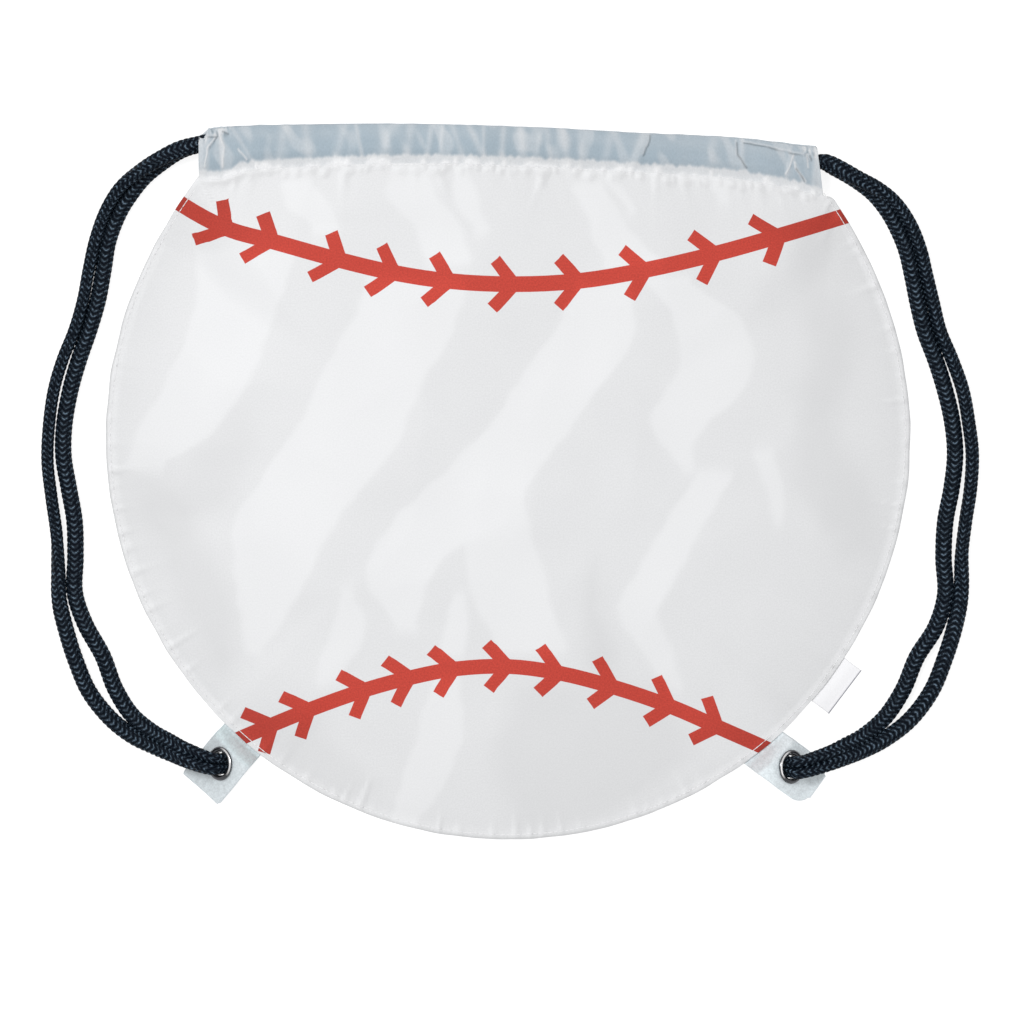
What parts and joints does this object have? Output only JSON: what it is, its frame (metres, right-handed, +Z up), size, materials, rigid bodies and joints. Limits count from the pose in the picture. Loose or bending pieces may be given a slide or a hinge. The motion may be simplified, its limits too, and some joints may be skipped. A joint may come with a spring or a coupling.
{
  "type": "drawstring bag",
  "caption": "Round flat drawstring bag of white cloth with printed ball-seam stripes; dark braided cords run through casings at the mouth and down to eyelets in corner tabs as straps.",
  "frame": {"origin": "on the floor under the middle of the bag's outline, straps left out", "axes": "+X across the bag, +Y towards the mouth, +Z up from the back panel it lies on"},
  "size_m": [0.5178, 0.3951, 0.0271],
  "materials": {
    "front_cloth": "woven polyester, printed red stripes",
    "back_cloth": "woven polyester",
    "tab_left_cloth": "folded woven polyester",
    "tab_right_cloth": "folded woven polyester",
    "eyelet_left_metal": "gunmetal plating",
    "eyelet_right_metal": "gunmetal plating",
    "cord_left_outer_braid": "herringbone braid",
    "cord_left_inner_braid": "herringbone braid",
    "cord_left_channel_braid": "herringbone braid",
    "cord_right_outer_braid": "herringbone braid",
    "cord_right_inner_braid": "herringbone braid",
    "cord_right_channel_braid": "herringbone braid",
    "knot_left_braid": "herringbone braid",
    "knot_right_braid": "herringbone braid",
    "label_tape": "woven satin tape"
  },
  "bodies": {
    "root": {"front_panel": "front_cloth", "back_panel": "back_cloth", "tab_left": "tab_left_cloth", "tab_right": "tab_right_cloth", "eyelet_left": "eyelet_left_metal", "eyelet_right": "eyelet_right_metal", "cord_left_outer": "cord_left_outer_braid", "cord_left_inner": "cord_left_inner_braid", "cord_left_channel": "cord_left_channel_braid", "cord_right_outer": "cord_right_outer_braid", "cord_right_inner": "cord_right_inner_braid", "cord_right_channel": "cord_right_channel_braid", "knot_left": "knot_left_braid", "knot_right": "knot_right_braid", "side_label": "label_tape"}
  },
  "joints": []
}
